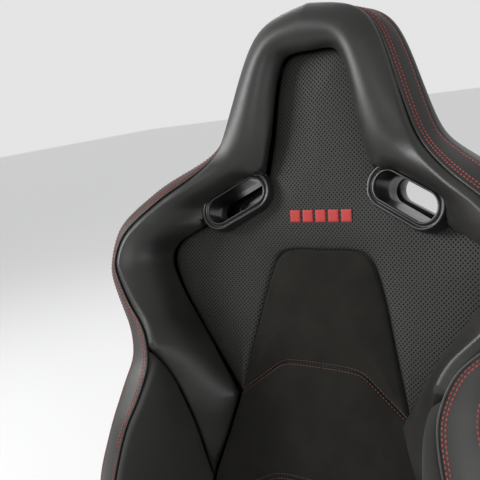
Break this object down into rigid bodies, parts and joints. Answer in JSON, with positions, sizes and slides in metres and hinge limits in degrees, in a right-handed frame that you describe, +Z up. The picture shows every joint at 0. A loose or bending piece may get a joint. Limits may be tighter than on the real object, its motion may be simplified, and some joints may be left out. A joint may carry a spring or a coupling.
{
  "type": "racing seat",
  "caption": "Reclining racing seat with bolstered backrest, integral head section, harness slots, side recliners and sliding floor rails.",
  "frame": {"origin": "on the floor, in the middle of the four floor bolt holes", "axes": "+Z up, -Y the way the sitter faces, +X the sitter's left"},
  "size_m": [0.558, 0.7053, 0.9371],
  "materials": {
    "leatherette": "soft grained black leatherette",
    "perforated_leatherette": "perforated black leatherette",
    "suede": "matte black suede-like cloth",
    "bolster_fabric": "fine matte black cloth",
    "back_cover": "grained black leatherette",
    "bezel_plastic": "satin black moulding",
    "cover_plastic": "fine textured black moulding",
    "lever_plastic": "satin black moulding",
    "rail_steel": "zinc plated",
    "latch_steel": "zinc plated",
    "black_steel": "black powder coat",
    "recliner_steel": "oiled steel",
    "fastener_steel": "zinc plated",
    "nylon": "natural nylon",
    "webbing": "woven elastic"
  },
  "bodies": {
    "floor_rails": {"lower_rail_left": "rail_steel", "lower_rail_right": "rail_steel", "rail_stop_pins": "fastener_steel"},
    "seat_base": {"upper_rail_left": "rail_steel", "upper_rail_right": "rail_steel", "rail_glides": "nylon", "rail_stop_blocks": "nylon", "seat_bolts": "fastener_steel", "side_plate_left": "black_steel", "side_plate_right": "black_steel", "cross_tube_front": "black_steel", "cross_tube_rear": "black_steel", "cushion_pan": "black_steel", "cushion_straps": "webbing", "recliner_guide_left": "recliner_steel", "recliner_guide_right": "recliner_steel", "recliner_cover_left": "cover_plastic", "recliner_cover_right": "cover_plastic", "latch_pins": "fastener_steel", "cushion_centre": "suede", "cushion_nose": "leatherette", "thigh_bolster_left": "leatherette", "thigh_bolster_right": "leatherette"},
    "slide_bar": {"tow_bar": "black_steel", "latch_lever_left": "latch_steel", "latch_lever_right": "latch_steel"},
    "release_shaft": {"sync_rod": "recliner_steel", "recline_lever_left": "lever_plastic", "recline_lever_right": "lever_plastic", "lever_screws": "fastener_steel"},
    "backrest": {"recliner_arm_left": "black_steel", "recliner_arm_right": "black_steel", "recliner_ratchet_left": "recliner_steel", "recliner_ratchet_right": "recliner_steel", "back_frame_hoop": "black_steel", "back_cross_bar_lower": "black_steel", "back_cross_bar_upper": "black_steel", "back_straps": "webbing", "rear_shell": "back_cover", "head_bolster": "leatherette", "shoulder_bolster_left": "leatherette", "shoulder_bolster_right": "leatherette", "rib_bolster_left": "bolster_fabric", "rib_bolster_right": "bolster_fabric", "perforated_insert": "perforated_leatherette", "centre_panel_upper": "suede", "centre_panel_middle": "suede", "lumbar_panel": "suede", "harness_bezel_front_left": "bezel_plastic", "harness_bezel_front_right": "bezel_plastic", "harness_bezel_rear_left": "bezel_plastic", "harness_bezel_rear_right": "bezel_plastic"}
  },
  "joints": [
    {"name": "seat_slide", "type": "slide", "parent": "floor_rails", "child": "seat_base", "axis": [0, -1, 0], "range_m": [-0.108, 0.108]},
    {"name": "slide_latch", "type": "hinge", "parent": "seat_base", "child": "slide_bar", "pos_m": [0, 0.04, 0.034], "axis": [-1, 0, 0], "range_deg": [0, 4.5], "stiffness_Nm_per_rad": 8, "springref_deg": -11.46},
    {"name": "backrest_recline", "type": "hinge", "parent": "seat_base", "child": "backrest", "pos_m": [0, 0.185, 0.165], "axis": [-1, 0, 0], "range_deg": [-20, 60]},
    {"name": "recline_release", "type": "hinge", "parent": "seat_base", "child": "release_shaft", "pos_m": [0, 0.185, 0.165], "axis": [-1, 0, 0], "range_deg": [0, 25], "stiffness_Nm_per_rad": 1.5, "springref_deg": -11.46}
  ]
}
